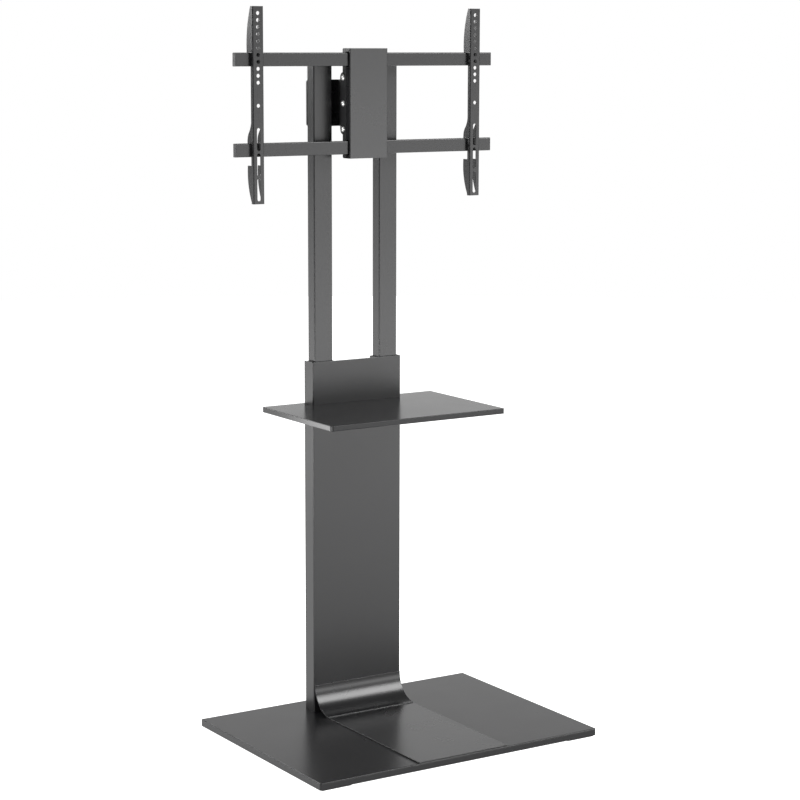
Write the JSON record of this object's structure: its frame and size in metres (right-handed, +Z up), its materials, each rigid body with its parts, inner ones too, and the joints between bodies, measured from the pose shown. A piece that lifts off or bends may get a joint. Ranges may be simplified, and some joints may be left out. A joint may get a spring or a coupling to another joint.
{
  "type": "tv stand with mount",
  "caption": "Floor stand for a television: flat base, boxed column with a shelf, telescoping uprights and a tilting, swivelling head with hooked arms.",
  "frame": {"origin": "centre of the base's outline, on the floor under the pads", "axes": "+Z up, -Y towards the viewer, the side that the screen faces, +X to the viewer's right"},
  "size_m": [0.734, 0.546, 1.6484],
  "materials": {
    "base_paint": "satin powder coat, dark graphite",
    "column_paint": "satin powder coat, dark graphite",
    "sleeve_paint": "satin powder coat, near black",
    "upright_paint": "satin powder coat, dark graphite",
    "head_paint": "satin powder coat, dark graphite",
    "arm_paint": "satin powder coat, dark graphite",
    "hinge_paint": "matt powder coat, near black",
    "board": "satin lacquered board, dark graphite",
    "zinc": "zinc plated",
    "black_plastic": "moulded, fine matt",
    "rubber": "matt"
  },
  "bodies": {
    "base": {"base_top": "base_paint", "base_rim": "base_paint", "base_pads": "rubber", "foot_plate": "base_paint", "column": "column_paint", "column_foot": "column_paint", "left_sleeve": "sleeve_paint", "right_sleeve": "sleeve_paint", "sleeve_bushes": "black_plastic", "height_knobs": "black_plastic", "base_bolts": "zinc", "foot_screws": "zinc", "shelf": "board", "shelf_bracket": "column_paint", "bracket_bolts": "zinc", "shelf_screws": "zinc"},
    "mast": {"left_upright": "upright_paint", "right_upright": "upright_paint", "upright_caps": "black_plastic", "upright_glides": "black_plastic", "back_plate": "upright_paint", "back_bolts": "zinc", "hinge_bracket": "hinge_paint", "swivel_pin": "zinc"},
    "swivel": {"yoke": "hinge_paint", "swivel_barrel": "hinge_paint", "swivel_washers": "black_plastic"},
    "head": {"head_frame": "hinge_paint", "front_cover": "head_paint", "top_rail": "head_paint", "bottom_rail": "head_paint", "rail_caps": "black_plastic", "rail_bolts": "zinc", "rail_nuts": "zinc", "tilt_pivots": "zinc", "tilt_bolts": "zinc", "tilt_nuts": "zinc"},
    "left_arm": {"left_arm": "arm_paint"},
    "right_arm": {"right_arm": "arm_paint"}
  },
  "joints": [
    {"name": "height_slide", "type": "slide", "parent": "base", "child": "mast", "axis": [0, 0, 1], "range_m": [-0.2, 0]},
    {"name": "head_swivel", "type": "hinge", "parent": "mast", "child": "swivel", "pos_m": [0, 0.186, 1.435], "axis": [0, 0, 1], "range_deg": [-10, 10]},
    {"name": "head_tilt", "type": "hinge", "parent": "swivel", "child": "head", "pos_m": [0, 0.1555, 1.435], "axis": [1, 0, 0], "range_deg": [-5, 8]},
    {"name": "left_arm_slide", "type": "slide", "parent": "head", "child": "left_arm", "axis": [1, 0, 0], "range_m": [-0.0135, 0.1365]},
    {"name": "right_arm_slide", "type": "slide", "parent": "head", "child": "right_arm", "axis": [1, 0, 0], "range_m": [-0.1365, 0.0135]}
  ]
}
